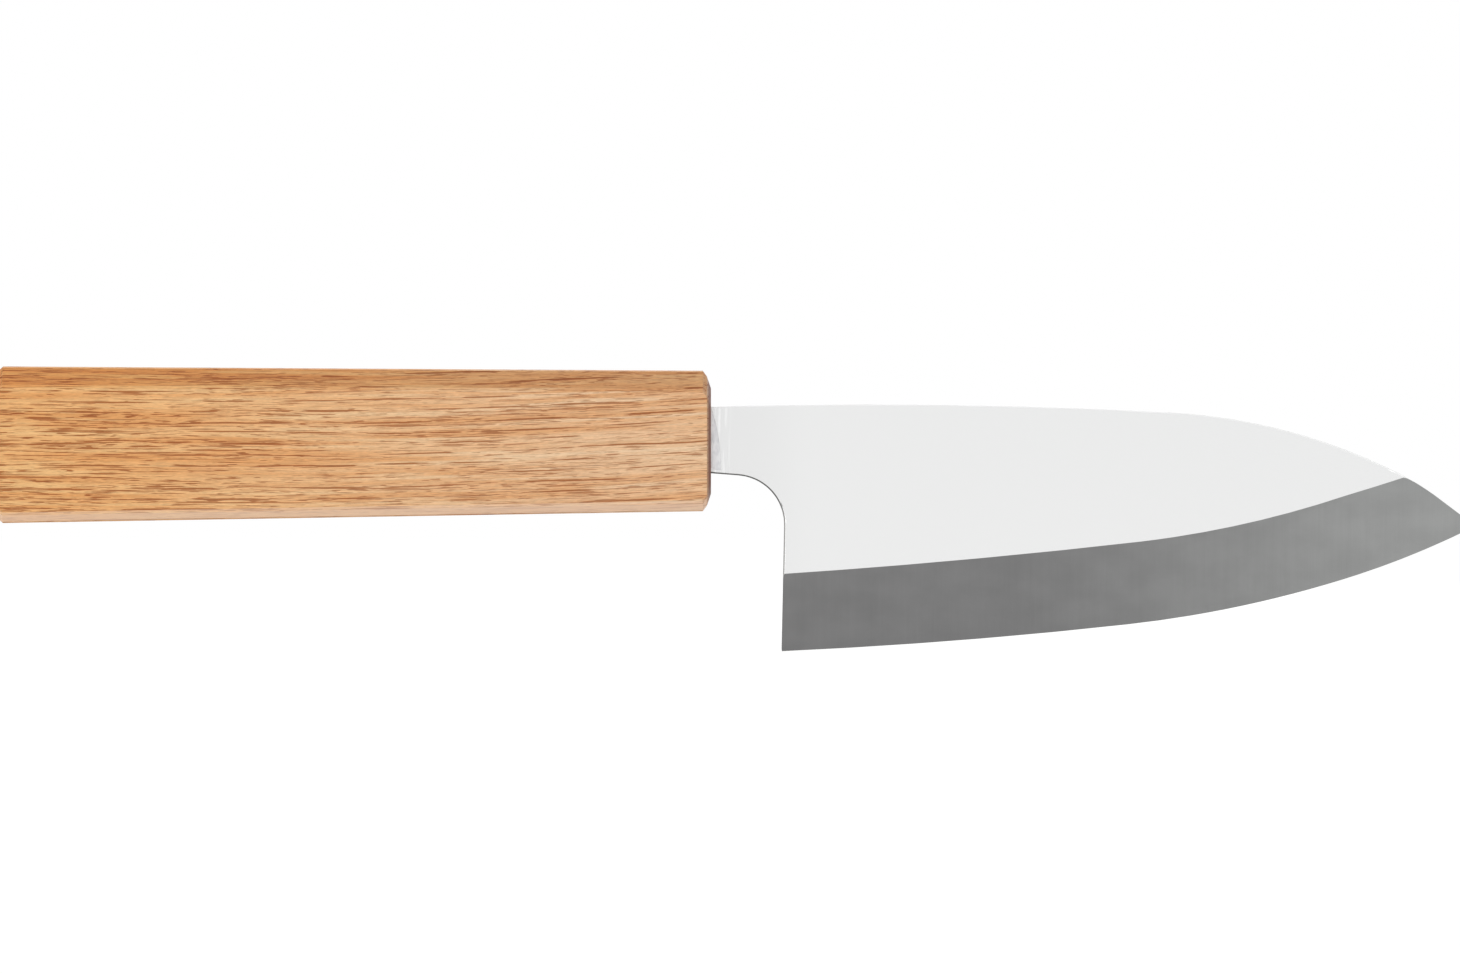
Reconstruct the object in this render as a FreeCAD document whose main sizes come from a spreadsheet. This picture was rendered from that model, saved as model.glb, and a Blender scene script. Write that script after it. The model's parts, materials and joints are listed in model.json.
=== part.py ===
import FreeCAD, Part

import math
import os

import Sketcher

# A single-bevel deba knife: a steel blade whose hidden tang is bedded in a one-piece octagonal wooden handle.
#
# While it is built, the origin is the middle of the handle's front end, where the blade comes out:
# +X runs to the tip, +Z to the spine and +Y to the hollow-ground left side of the blade. At the end every
# piece gets one placement, which puts the origin under the middle of the knife's length, level with the
# heel corner, the lowest point when the edge is down.

# Every size in millimetres. A depth or a drop is measured down from the line of the origin, and a run
# forward from the heel.
SIZES = [
    # blade, seen from the side
    ("blade_length", 120.0, "heel corner to tip"),
    ("heel_forward", 12.2, "handle to heel corner"),
    ("heel_depth", 36.36, "height of the origin above the heel corner"),
    ("tip_drop", 14.7, "tip below the origin"),
    ("neck_top", 5.83, "top of the neck above the origin, where the tang begins"),
    ("neck_bottom", 5.35, "underside of the neck below the origin, where the tang begins"),
    ("choil_run", 4.81, "handle to the start of the choil curve"),
    ("choil_top_depth", 5.95, "start of the choil curve below the origin"),
    ("choil_radius", 8.5, "choil curve"),
    ("choil_depth", 14.6, "end of the choil curve below the origin"),
    ("heel_lean", 0.45, "how much further forward the heel line stands at its top"),
    ("spine_radius", 978.0, "long curve of the spine"),
    ("spine_run", 67.0, "heel to the end of the long curve"),
    ("spine_end_height", 4.95, "that end above the origin"),
    ("drop_radius", 100.0, "curve where the spine drops"),
    ("drop_run", 105.0, "heel to the end of that curve"),
    ("drop_end_depth", 4.73, "that end below the origin"),
    ("nose_radius", 53.5, "last curve of the spine"),
    ("nose_run", 112.8, "heel to the end of the last curve"),
    ("nose_end_depth", 9.31, "that end below the origin"),
    ("edge_radius", 913.0, "flat part of the edge"),
    ("edge_run", 59.8, "heel to the end of the flat part"),
    ("edge_end_depth", 31.71, "that end below the origin"),
    ("belly_radius", 200.0, "belly of the edge"),
    ("belly_run", 99.8, "heel to the end of the belly"),
    ("belly_end_depth", 23.07, "that end below the origin"),
    ("point_radius", 148.0, "edge from the belly to the tip"),
    # ridge line, where the flat side meets the bevel
    ("ridge_heel_depth", 22.97, "ridge below the origin at the heel"),
    ("ridge_radius", 1225.0, "first curve of the ridge"),
    ("ridge_run", 62.1, "heel to the end of the first curve"),
    ("ridge_end_depth", 17.4, "that end below the origin"),
    ("ridge_belly_radius", 169.0, "second curve of the ridge"),
    ("ridge_belly_run", 97.6, "heel to the end of the second curve"),
    ("ridge_belly_depth", 9.35, "that end below the origin"),
    ("ridge_spine_run", 107.5, "heel to where the ridge meets the spine"),
    ("ridge_spine_depth", 6.07, "that point below the origin"),
    # blade, seen from above and in section
    ("neck_thickness", 4.6, "steel where the tang begins"),
    ("tip_thickness", 2.2, "thickness that the taper of the sides reaches at the tip"),
    ("edge_thickness", 0.15, "flat left along the cutting edge"),
    ("bevel_reach", 0.5, "how far the cut that makes the bevel starts and ends outside the blade's sides"),
    ("spine_easing", 0.3, "rounding along the spine"),
    ("choil_easing", 0.35, "rounding along the neck's underside and the choil"),
    ("hollow_depth", 0.35, "depth of the hollow on the left side"),
    ("hollow_rim", 3.0, "flat left above and below the hollow at the heel"),
    ("hollow_centre_depth", 13.9, "middle of the hollow below the origin"),
    ("hollow_heel_gap", 3.3, "heel to the start of the hollow"),
    ("hollow_runout", 5.0, "length over which the hollow reaches its full depth"),
    ("hollow_tip_gap", 10.0, "end of the hollow to the tip"),
    ("neck_step", 0.15, "depth of the unpolished patch beside the handle"),
    ("neck_patch", 1.7, "length of that patch"),
    ("neck_patch_radius", 29.0, "curved end of that patch"),
    ("neck_patch_low", 4.0, "where the patch is longest, below the origin"),
    # tang
    ("tang_length", 86.0, "tang behind the seal"),
    ("tang_shoulder", 0.4, "how much smaller than the neck the tang begins, each side"),
    ("tang_end_top", 2.2, "top of the tang's end above the origin"),
    ("tang_end_bottom", 3.0, "bottom of the tang's end below the origin"),
    ("tang_end_thickness", 2.6, "thickness of the tang's end"),
    # handle
    ("handle_length", 124.0, "front end to butt"),
    ("handle_front_height", 24.2, "height at the front"),
    ("handle_front_width", 20.5, "width at the front"),
    ("handle_butt_height", 27.05, "height at the butt"),
    ("handle_butt_width", 23.0, "width at the butt"),
    ("handle_butt_drop", 0.67, "middle of the butt below the origin"),
    ("upper_slant", 3.4, "height and width of the two upper slanted facets"),
    ("lower_slant", 1.5, "height and width of the two lower slanted facets"),
    ("arris_chamfer", 0.3, "chamfer that eases the long edges between the facets"),
    ("front_chamfer", 0.7, "chamfer at the front end of the two side facets"),
    ("front_round_run", 1.4, "length over which the top and bottom round off to the front"),
    ("front_round_depth", 0.95, "how far they have come in where the side facets end"),
    ("front_face_inset", 3.0, "how far they have come in at the flat front face"),
    ("butt_chamfer", 1.2, "chamfer at the butt end of the two side facets"),
    ("butt_round_run", 2.0, "length over which the top and bottom round off to the butt"),
    ("butt_round_depth", 0.7, "how far they have come in where the side facets end"),
    ("butt_face_inset", 2.8, "how far they have come in at the flat butt face"),
    # fit of the tang in the handle
    ("slot_clearance", 0.4, "resin between tang and slot, each side"),
    ("slot_end_gap", 2.0, "resin behind the tang's end"),
    ("seal_clearance", 0.8, "seal round the neck, each side"),
    ("seal_depth", 2.5, "length of the seal"),
    ("seal_recess", 0.4, "how far the seal lies back from the handle's front end"),
    # how far a cutting shape stands out past what it cuts
    ("cutter_margin", 2.0, "reach of each cutting shape beyond the piece"),
]


class Size:
    """A size as a number, for drawing, and as the formula that ties the drawing to the sheet."""

    def __init__(self, number, formula):
        self.number = float(number)
        self.formula = formula

    def __add__(self, other):
        other = as_size(other)
        return Size(self.number + other.number, f"({self.formula} + {other.formula})")

    def __sub__(self, other):
        other = as_size(other)
        return Size(self.number - other.number, f"({self.formula} - {other.formula})")

    def __mul__(self, other):
        other = as_size(other)
        return Size(self.number * other.number, f"({self.formula} * {other.formula})")

    def __truediv__(self, other):
        other = as_size(other)
        return Size(self.number / other.number, f"({self.formula} / {other.formula})")

    def __neg__(self):
        return Size(-self.number, f"(-{self.formula})")


def as_size(value):
    if isinstance(value, Size):
        return value
    return Size(value, str(value))


def slope_angle(rise, run):
    """The angle, in degrees, of a line that rises by one size over another."""
    tangent = rise / run
    return Size(math.degrees(math.atan(tangent.number)), f"atan({tangent.formula})")


def arc_radius(half_chord, rise):
    """The radius of an arc that rises by one size over half its chord."""
    return (half_chord * half_chord + rise * rise) / (rise * 2)


def arc_drop(radius, distance):
    """How far an arc has fallen away from its farthest point at a distance to one side of it."""
    square = radius * radius - distance * distance
    return radius - Size(math.sqrt(square.number), f"sqrt({square.formula})")


doc = FreeCAD.newDocument("deba_knife")
sheet = doc.addObject("Spreadsheet::Sheet", "sizes")
size = {}
for row, (name, number, meaning) in enumerate(SIZES, start=1):
    sheet.set(f"A{row}", meaning)
    sheet.set(f"B{row}", str(number))
    sheet.setAlias(f"B{row}", name)
    size[name] = Size(number, f"sizes.{name}")
doc.recompute()

margin = size["cutter_margin"]
ORIGIN = (-1, 1)
HORIZONTAL_AXIS = -1
VERTICAL_AXIS = -2
START = 1
END = 2


def bind(thing, path, value):
    thing.setExpression(path, as_size(value).formula)


def new_body(name):
    body = doc.addObject("PartDesign::Body", name)
    body.Label = name
    return body


def new_sketch(body, name, plane, lift=None, turn=None, raised=None):
    """A sketch on one of the body's own planes, lifted off it, raised in it, or turned about its upright."""
    sketch = body.newObject("Sketcher::SketchObject", name)
    support = next(feature for feature in body.Origin.OriginFeatures if feature.Role == plane)
    sketch.AttachmentSupport = [(support, "")]
    sketch.MapMode = "FlatFace"
    if turn is not None:
        upright = FreeCAD.Vector(0, 1, 0) if plane == "XZ_Plane" else FreeCAD.Vector(0, 0, 1)
        start = FreeCAD.Rotation(upright, turn.number)
        sketch.AttachmentOffset = FreeCAD.Placement(FreeCAD.Vector(), start)
        bind(sketch, "AttachmentOffset.Rotation.Angle", turn)
    if lift is not None:
        bind(sketch, "AttachmentOffset.Base.z", lift)
    if raised is not None:
        bind(sketch, "AttachmentOffset.Base.y", raised)
    return sketch


def constrain(sketch, kind, first, second, value):
    """A distance from the first point to the second, kept positive by the order of the two."""
    if value.number < 0:
        first, second, value = second, first, -value
    number = sketch.addConstraint(Sketcher.Constraint(kind, *first, *second, value.number))
    bind(sketch, f"Constraints[{number}]", value)


def pin_point(sketch, edge, end, point):
    """Ties a point of the sketch to its place."""
    for kind, axis, value in zip(("DistanceX", "DistanceY"), (VERTICAL_AXIS, HORIZONTAL_AXIS), point):
        value = as_size(value)
        if value.number == 0:
            sketch.addConstraint(Sketcher.Constraint("PointOnObject", edge, end, axis))
        else:
            constrain(sketch, kind, ORIGIN, (edge, end), value)


def vector(point):
    across, up = (as_size(value).number for value in point)
    return FreeCAD.Vector(across, up, 0)


def arc_between(start, end, radius):
    """The shorter arc from start to end. It turns left where the radius is positive, and right where not."""
    chord = end - start
    middle = (start + end) * 0.5
    left = FreeCAD.Vector(-chord.y, chord.x, 0).normalize()
    side = math.copysign(1, radius)
    height = math.sqrt(radius**2 - (chord.Length / 2) ** 2)
    bulge = left * (-side * (abs(radius) - height))
    return Part.Arc(start, middle + bulge, end)


def draw(sketch, start, steps):
    """A closed outline: each step is the next point, with a radius where an arc leads to it."""
    here = start
    first_edge = None
    for point, radius in [*steps, (start, None)]:
        if radius is None:
            edge = sketch.addGeometry(Part.LineSegment(vector(here), vector(point)), False)
            ends = (START, END)
        else:
            arc = arc_between(vector(here), vector(point), radius.number)
            edge = sketch.addGeometry(arc, False)
            # a sketch keeps every arc anticlockwise, so one that turns right starts at its far end
            ends = (START, END) if radius.number > 0 else (END, START)
            length = radius if radius.number > 0 else -radius
            number = sketch.addConstraint(Sketcher.Constraint("Radius", edge, length.number))
            bind(sketch, f"Constraints[{number}]", length)
        pin_point(sketch, edge, ends[0], here)
        if first_edge is None:
            first_edge = (edge, ends[0])
        else:
            sketch.addConstraint(Sketcher.Constraint("Coincident", *last_end, edge, ends[0]))
        last_end = (edge, ends[1])
        here = point
    sketch.addConstraint(Sketcher.Constraint("Coincident", *last_end, *first_edge))


def rectangle(sketch, left, right, bottom, top):
    draw(sketch, (left, bottom), [((right, bottom), None), ((right, top), None), ((left, top), None)])


def pad(body, sketch, name, thickness):
    """Steel of one thickness, half to each side of the sketch."""
    feature = body.newObject("PartDesign::Pad", name)
    feature.Profile = sketch
    feature.SideType = "Symmetric"
    bind(feature, "Length", thickness)
    return feature


def cut_through(body, sketch, name):
    """Cuts the sketch's outlines away, right through the piece both ways."""
    feature = body.newObject("PartDesign::Pocket", name)
    feature.Profile = sketch
    feature.Type = "ThroughAll"
    feature.SideType = "Symmetric"
    return feature


def cut_to(body, sketch, name, depth, reverse=False):
    """Cuts the sketch's outline to a depth, against the way the sketch faces unless reversed."""
    feature = body.newObject("PartDesign::Pocket", name)
    feature.Profile = sketch
    feature.Reversed = reverse
    bind(feature, "Length", depth)
    return feature


def loft(body, kind, name, first, *others):
    """Straight-lined faces from each sketch to the next."""
    feature = body.newObject(f"PartDesign::{kind}", name)
    feature.Profile = first
    feature.Sections = [(sketch, [""]) for sketch in others]
    feature.Ruled = True
    return feature


# points of the drawing that lie nearer than this, in millimetres, are the same
NEAR = 0.01


def edges_along(shape, route):
    """The names of the edges between neighbouring points of a side-view route, on either side."""
    points = [FreeCAD.Vector(as_size(x).number, 0, as_size(z).number) for x, z in route]
    stretches = list(zip(points, points[1:]))
    names = []
    for number, edge in enumerate(shape.Edges, start=1):
        if len(edge.Vertexes) < 2:
            continue
        first, last = (FreeCAD.Vector(vertex.X, 0, vertex.Z) for vertex in edge.Vertexes)
        for start, end in stretches:
            same_way = first.distanceToPoint(start) + last.distanceToPoint(end)
            other_way = first.distanceToPoint(end) + last.distanceToPoint(start)
            if min(same_way, other_way) < NEAR:
                names.append(f"Edge{number}")
    return names


def round_edges(body, name, base, edges, radius):
    """Rounds the named edges of the last feature."""
    feature = body.newObject("PartDesign::Fillet", name)
    feature.Base = (base, edges)
    bind(feature, "Radius", radius)
    return feature


def taper_from_above(body, name, stations):
    """Cuts both sides of a piece to the widths given at stations along X, widest stock outside them."""
    sketch = new_sketch(body, f"{name}_plan", "XY_Plane")
    widest = max((width for _, width in stations), key=lambda width: width.number)
    outside = widest / 2 + margin * 2
    for side in (1, -1):
        inner = [(place, width * side / 2) for place, width in stations]
        first, last = inner[0][0], inner[-1][0]
        corners = [*inner[1:], (last, outside * side), (first, outside * side)]
        draw(sketch, inner[0], [(corner, None) for corner in corners])
    return cut_through(body, sketch, name)


# --- blade: one piece of steel with its tang ---

heel_x = size["heel_forward"]
tip_x = heel_x + size["blade_length"]
# the neck runs back through the seal, and the tang begins behind it
tang_x = -(size["seal_recess"] + size["seal_depth"])
tang_end_x = tang_x - size["tang_length"]
neck_thickness = size["neck_thickness"]
thinning = (neck_thickness - size["tip_thickness"]) / (tip_x - tang_x)
# each side leans in towards the tip by this angle
side_taper = slope_angle(thinning, 2)


def blade_thickness_at(place):
    return neck_thickness - thinning * (as_size(place) - tang_x)


half_at_mouth = blade_thickness_at(0) / 2

neck_above = (tang_x, size["neck_top"])
spine_end = (heel_x + size["spine_run"], size["spine_end_height"])
drop_end = (heel_x + size["drop_run"], -size["drop_end_depth"])
nose_end = (heel_x + size["nose_run"], -size["nose_end_depth"])
tip = (tip_x, -size["tip_drop"])
belly_end = (heel_x + size["belly_run"], -size["belly_end_depth"])
edge_end = (heel_x + size["edge_run"], -size["edge_end_depth"])
heel = (heel_x, -size["heel_depth"])
choil_end = (heel_x + size["heel_lean"], -size["choil_depth"])
choil_start = (size["choil_run"], -size["choil_top_depth"])
neck_below = (tang_x, -size["neck_bottom"])

blade = new_body("blade")
blade_side = new_sketch(blade, "blade_side", "XZ_Plane")
draw(
    blade_side,
    neck_above,
    [
        (spine_end, -size["spine_radius"]),
        (drop_end, -size["drop_radius"]),
        (nose_end, -size["nose_radius"]),
        (tip, None),
        (belly_end, -size["point_radius"]),
        (edge_end, -size["belly_radius"]),
        (heel, -size["edge_radius"]),
        (choil_end, None),
        (choil_start, size["choil_radius"]),
        (neck_below, None),
    ],
)
pad(blade, blade_side, "steel", neck_thickness + margin)
tapered = taper_from_above(
    blade,
    "side_taper",
    [(place, blade_thickness_at(place)) for place in (tang_x - margin, tip_x + margin)],
)
doc.recompute()

choil_edges = edges_along(tapered.Shape, [heel, choil_end, choil_start, neck_below])
eased = round_edges(blade, "eased_choil", tapered, choil_edges, size["choil_easing"])
doc.recompute()
spine_edges = edges_along(eased.Shape, [neck_above, spine_end, drop_end, nose_end, tip])
round_edges(blade, "eased_spine", eased, spine_edges, size["spine_easing"])
doc.recompute()

# the bevel follows straight lines, each from a place on the ridge, on the flat right side, to one on the
# edge, on the left side
ridge_heel = (heel_x, -size["ridge_heel_depth"])
ridge_end = (heel_x + size["ridge_run"], -size["ridge_end_depth"])
ridge_belly_end = (heel_x + size["ridge_belly_run"], -size["ridge_belly_depth"])
ridge_spine = (heel_x + size["ridge_spine_run"], -size["ridge_spine_depth"])
ridge_slope = (ridge_spine[1] - ridge_belly_end[1]) / (ridge_spine[0] - ridge_belly_end[0])
# the ridge runs straight on past the spine
past_spine = (ridge_spine[0] + margin * 2, ridge_spine[1] + ridge_slope * margin * 2)
bevel_lines = [(ridge_heel, heel), (ridge_end, edge_end), (ridge_belly_end, belly_end), (past_spine, tip)]
reach = size["bevel_reach"]


def drawn_out(start, end, extra):
    """Where a line of the bevel gets to when it runs on past its end through so much more thickness."""
    further = extra / (blade_thickness_at(end[0]) - size["edge_thickness"])
    return tuple(there + (there - here) * further for here, there in zip(start, end))


def bevel_outline(name, side, ends, radii):
    """A line along the blade outside one of its sides, closed well below and ahead of it."""
    lift = (half_at_mouth + reach) * side
    sketch = new_sketch(blade, name, "XZ_Plane", lift=lift, turn=side_taper * side)
    first, *others = ends
    left = heel_x - margin
    right = tip_x + margin * 2
    bottom = others[-1][1] - size["heel_depth"]
    corners = [((right, others[-1][1] + margin), None), ((right, bottom), None), ((left, bottom), None)]
    draw(sketch, (left, first[1]), [(first, None), *zip(others, radii), *corners])
    return sketch


above_ridge = [drawn_out(below, above, reach) for above, below in bevel_lines]
below_edge = [drawn_out(above, below, reach + size["edge_thickness"]) for above, below in bevel_lines]
ridge_radii = [size["ridge_radius"], size["ridge_belly_radius"], None]
edge_radii = [size["edge_radius"], size["belly_radius"], size["point_radius"]]
loft(
    blade,
    "SubtractiveLoft",
    "bevel",
    bevel_outline("bevel_left", -1, below_edge, edge_radii),
    bevel_outline("bevel_right", 1, above_ridge, ridge_radii),
)
doc.recompute()

# the left side is hollow: a wheel far wider than the blade has cut it, deepest near the heel and running out
# before the tip
hollow = new_sketch(
    blade,
    "hollow_section",
    "XY_Plane",
    lift=-size["hollow_centre_depth"],
    raised=half_at_mouth,
    turn=-side_taper,
)
hollow_start = heel_x + size["hollow_heel_gap"]
hollow_deepest = hollow_start + size["hollow_runout"]
hollow_end = tip_x - size["hollow_tip_gap"]
depth = size["hollow_depth"]
draw(
    hollow,
    (hollow_start, 0),
    [
        ((hollow_deepest, -depth), arc_radius(size["hollow_runout"], depth)),
        ((hollow_end, 0), arc_radius(hollow_end - hollow_deepest, depth)),
        ((hollow_end, margin), None),
        ((hollow_start, margin), None),
    ],
)
half_height = (size["heel_depth"] + size["neck_top"]) / 2
wheel_radius = arc_radius(half_height - size["hollow_rim"], depth)
axle = hollow.addGeometry(
    Part.LineSegment(vector((hollow_start, wheel_radius)), vector((hollow_end, wheel_radius))), True
)
pin_point(hollow, axle, START, (hollow_start, wheel_radius - depth))
pin_point(hollow, axle, END, (hollow_end, wheel_radius - depth))
ground = blade.newObject("PartDesign::Groove", "hollow")
ground.Profile = hollow
ground.ReferenceAxis = (hollow, ["Axis0"])
ground.Angle = 360
doc.recompute()

# beside the handle both sides keep a shallow unpolished patch, which ends in an arc; in front of the handle it
# stays above the rounding of the neck's underside
patch_top = size["neck_top"] + margin
patch_bottom = size["choil_easing"] - size["neck_bottom"]
below_neck = -(size["neck_bottom"] + margin)


def patch_end(height):
    """The end of the patch at a height: an arc whose farthest point lies low."""
    drop = arc_drop(size["neck_patch_radius"], height + size["neck_patch_low"])
    return (size["neck_patch"] - drop, height)


outside_neck = neck_thickness / 2 + margin
for name, side in (("right", 1), ("left", -1)):
    patch = new_sketch(blade, f"neck_patch_{name}", "XZ_Plane", lift=outside_neck * side)
    draw(
        patch,
        patch_end(patch_bottom),
        [
            (patch_end(patch_top), size["neck_patch_radius"]),
            ((tang_x - margin, patch_top), None),
            ((tang_x - margin, below_neck), None),
            ((0, below_neck), None),
            ((0, patch_bottom), None),
        ],
    )
    to_floor = outside_neck - half_at_mouth + size["neck_step"]
    cut_to(blade, patch, f"neck_step_{name}", to_floor, reverse=side < 0)
doc.recompute()


def tang_block(body, kind, name, gap, end_gap):
    """A tapered block as large as the tang, or larger by a gap: the tang itself, its slot, or the resin."""
    shoulder = size["tang_shoulder"]
    ends = (
        (
            tang_x,
            neck_thickness / 2 - shoulder,
            size["neck_top"] - shoulder,
            size["neck_bottom"] - shoulder,
        ),
        (
            tang_end_x - end_gap,
            size["tang_end_thickness"] / 2,
            size["tang_end_top"],
            size["tang_end_bottom"],
        ),
    )
    outlines = []
    for number, (place, half_width, top, bottom) in enumerate(ends):
        sketch = new_sketch(body, f"{name}_{number}", "YZ_Plane", lift=place)
        rectangle(sketch, -(half_width + gap), half_width + gap, -(bottom + gap), top + gap)
        outlines.append(sketch)
    return loft(body, kind, name, *outlines)


no_gap = as_size(0)
tang_block(blade, "AdditiveLoft", "tang", no_gap, no_gap)
doc.recompute()


# --- handle: one piece of wood, tapered, with eight facets, rounded ends and a slot for the tang ---

handle = new_body("handle")
butt_x = -size["handle_length"]
DIAGONAL = math.sqrt(0.5)


def between_ends(at_front, at_butt, place):
    """A size of the handle at a place behind its front end."""
    return at_front + (at_butt - at_front) * place / butt_x


def handle_outline(name, place, side_inset, height_inset):
    """The handle's eight facets cut square at a place, its sides, top and bottom taken in."""
    width = between_ends(size["handle_front_width"], size["handle_butt_width"], place)
    height = between_ends(size["handle_front_height"], size["handle_butt_height"], place)
    half_width = width / 2 - side_inset
    half_height = height / 2 - height_inset
    middle = -between_ends(as_size(0), size["handle_butt_drop"], place)
    top = middle + half_height
    bottom = middle - half_height
    upper = size["upper_slant"]
    lower = size["lower_slant"]
    ease = size["arris_chamfer"]
    slant_ease = ease * DIAGONAL
    left_half = [
        (lower + ease - half_width, bottom),
        (lower - slant_ease - half_width, bottom + slant_ease),
        (slant_ease - half_width, bottom + lower - slant_ease),
        (-half_width, bottom + lower + ease),
        (-half_width, top - upper - ease),
        (slant_ease - half_width, top - upper + slant_ease),
        (upper - slant_ease - half_width, top - slant_ease),
        (upper + ease - half_width, top),
    ]
    right_half = [(-across, up) for across, up in reversed(left_half)]
    corners = [*left_half, *right_half]
    sketch = new_sketch(handle, name, "YZ_Plane", lift=place)
    draw(sketch, corners[0], [(corner, None) for corner in corners[1:]])
    return sketch


def end_outlines(name, end_x, inward):
    """From the flat face at one end to where the handle has its whole section: inward is 1 or -1 along X."""
    eased = size[f"{name}_chamfer"]
    none = as_size(0)
    return [
        handle_outline(f"{name}_face", end_x, eased, size[f"{name}_face_inset"]),
        handle_outline(f"{name}_facets", end_x + eased * inward, none, size[f"{name}_round_depth"]),
        handle_outline(f"{name}_whole", end_x + size[f"{name}_round_run"] * inward, none, none),
    ]


outlines = [*end_outlines("front", as_size(0), -1), *reversed(end_outlines("butt", butt_x, 1))]
loft(handle, "AdditiveLoft", "wood", *outlines)
doc.recompute()


def seal_outline(body, name, place):
    """A rectangle round the neck, across the handle at a place along it."""
    sketch = new_sketch(body, name, "YZ_Plane", lift=place)
    gap = size["seal_clearance"]
    half_width = neck_thickness / 2 + gap
    rectangle(sketch, -half_width, half_width, -(size["neck_bottom"] + gap), size["neck_top"] + gap)
    return sketch


tang_block(handle, "SubtractiveLoft", "slot", size["slot_clearance"], size["slot_end_gap"])
doc.recompute()
mouth = seal_outline(handle, "mouth", margin)
cut_to(handle, mouth, "seal_seat", margin - tang_x)
doc.recompute()


# --- what closes and fills the slot ---

seal_stock = new_body("mouth_seal_stock")
seal_block = seal_stock.newObject("PartDesign::Pad", "seal_block")
seal_block.Profile = seal_outline(seal_stock, "seal_front", -size["seal_recess"])
seal_block.Reversed = True
bind(seal_block, "Length", size["seal_depth"])

resin_stock = new_body("tang_adhesive_stock")
tang_block(resin_stock, "AdditiveLoft", "resin", size["slot_clearance"], size["slot_end_gap"])
doc.recompute()

# every piece moves together to the knife's own origin
along = (size["handle_length"] - heel_x - size["blade_length"]) / 2
for body in (blade, handle, seal_stock, resin_stock):
    bind(body, "Placement.Base.x", along)
    bind(body, "Placement.Base.z", size["heel_depth"])

mouth_seal = doc.addObject("Part::Cut", "mouth_seal")
mouth_seal.Base = seal_stock
mouth_seal.Tool = blade
tang_adhesive = doc.addObject("Part::Cut", "tang_adhesive")
tang_adhesive.Base = resin_stock
tang_adhesive.Tool = blade
doc.recompute()

pieces = [blade, handle, tang_adhesive, mouth_seal]
for thing in doc.Objects:
    if {"Invalid", "Error"} & set(thing.State):
        raise RuntimeError(f"{thing.Label} could not be made: {thing.State}")
for piece in pieces:
    if piece.Shape.isNull() or not piece.Shape.isValid():
        raise RuntimeError(f"{piece.Label} has no sound shape")
    if len(piece.Shape.Solids) != 1:
        raise RuntimeError(f"{piece.Label} has {len(piece.Shape.Solids)} solids in place of one")

os.makedirs("parts", exist_ok=True)
for piece in pieces:
    piece.Shape.exportStep(f"parts/{piece.Label}.step")
    box = piece.Shape.optimalBoundingBox()
    lengths = " x ".join(f"{length:.2f}" for length in (box.XLength, box.YLength, box.ZLength))
    print(f"{piece.Label}: {piece.Shape.Volume:.1f} mm3, {lengths} mm, lowest {box.ZMin:.3f}")
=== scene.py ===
# %% [markdown]
# # A deba knife
#
# A deba is a thick Japanese kitchen knife for fish. This one is a steel blade with a tang that runs,
# unseen, into a handle made from one piece of oak. The shapes are already made to size, so nothing is
# modelled again here. The work of this script is what the eye meets: the finish of every ground and
# polished steel surface, the grain and the open pores of the oak, and the light.
#
# The finishes are all node materials, worked out from where a point lies and which way it faces. That way
# they need no pictures, they cut through the wood as real grain does, and they stay sharp from any
# distance.

# %% Load the knife
import json
import math

import bpy
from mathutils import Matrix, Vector


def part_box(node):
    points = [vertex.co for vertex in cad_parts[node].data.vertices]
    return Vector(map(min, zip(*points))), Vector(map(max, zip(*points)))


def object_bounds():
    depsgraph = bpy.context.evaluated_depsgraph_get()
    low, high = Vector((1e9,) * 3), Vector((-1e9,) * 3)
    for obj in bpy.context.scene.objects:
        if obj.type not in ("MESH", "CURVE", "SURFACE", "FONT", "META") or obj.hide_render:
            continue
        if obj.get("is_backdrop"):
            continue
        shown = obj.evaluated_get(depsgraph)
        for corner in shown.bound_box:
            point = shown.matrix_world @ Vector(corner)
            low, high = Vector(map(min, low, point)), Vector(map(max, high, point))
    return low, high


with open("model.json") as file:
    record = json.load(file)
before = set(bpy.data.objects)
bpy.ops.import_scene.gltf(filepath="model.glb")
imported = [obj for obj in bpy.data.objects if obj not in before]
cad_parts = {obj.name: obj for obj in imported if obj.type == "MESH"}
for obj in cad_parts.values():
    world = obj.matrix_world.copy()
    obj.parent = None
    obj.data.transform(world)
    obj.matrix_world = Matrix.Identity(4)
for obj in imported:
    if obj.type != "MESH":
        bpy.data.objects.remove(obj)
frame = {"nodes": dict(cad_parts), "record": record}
cad_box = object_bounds()

MM = 0.001
nodes = frame["nodes"]
mounts = {mount["name"]: mount for mount in frame["record"]["mounts"]}
for name in sorted(nodes):
    low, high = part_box(name)
    lengths = " x ".join(f"{length / MM:.1f}" for length in high - low)
    print(f"{name}: {lengths} mm, {len(nodes[name].data.polygons)} faces")

# %% [markdown]
# ## Small helpers for node trees
#
# A material is a tree of small steps. Wired by hand in the editor they are boxes and threads, and in code
# each step takes four lines of bookkeeping. So a few helpers come first: one adds a step and wires its
# inputs, and the others name the steps that come back all the time. After that a material reads like a
# recipe.

# %% Add and wire one step
def wire(tree, value, socket):
    """Another step's output is linked to the socket, and anything else is set on it."""
    if isinstance(value, bpy.types.NodeSocket):
        tree.links.new(value, socket)
    else:
        socket.default_value = value


def step(tree, kind, inputs, **settings):
    """One node with its settings. The inputs are given by their name or number."""
    made = tree.nodes.new("ShaderNode" + kind)
    for name, setting in settings.items():
        setattr(made, name, setting)
    for place, value in inputs.items():
        wire(tree, value, made.inputs[place])
    return made


print("steps can be added and wired")

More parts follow.
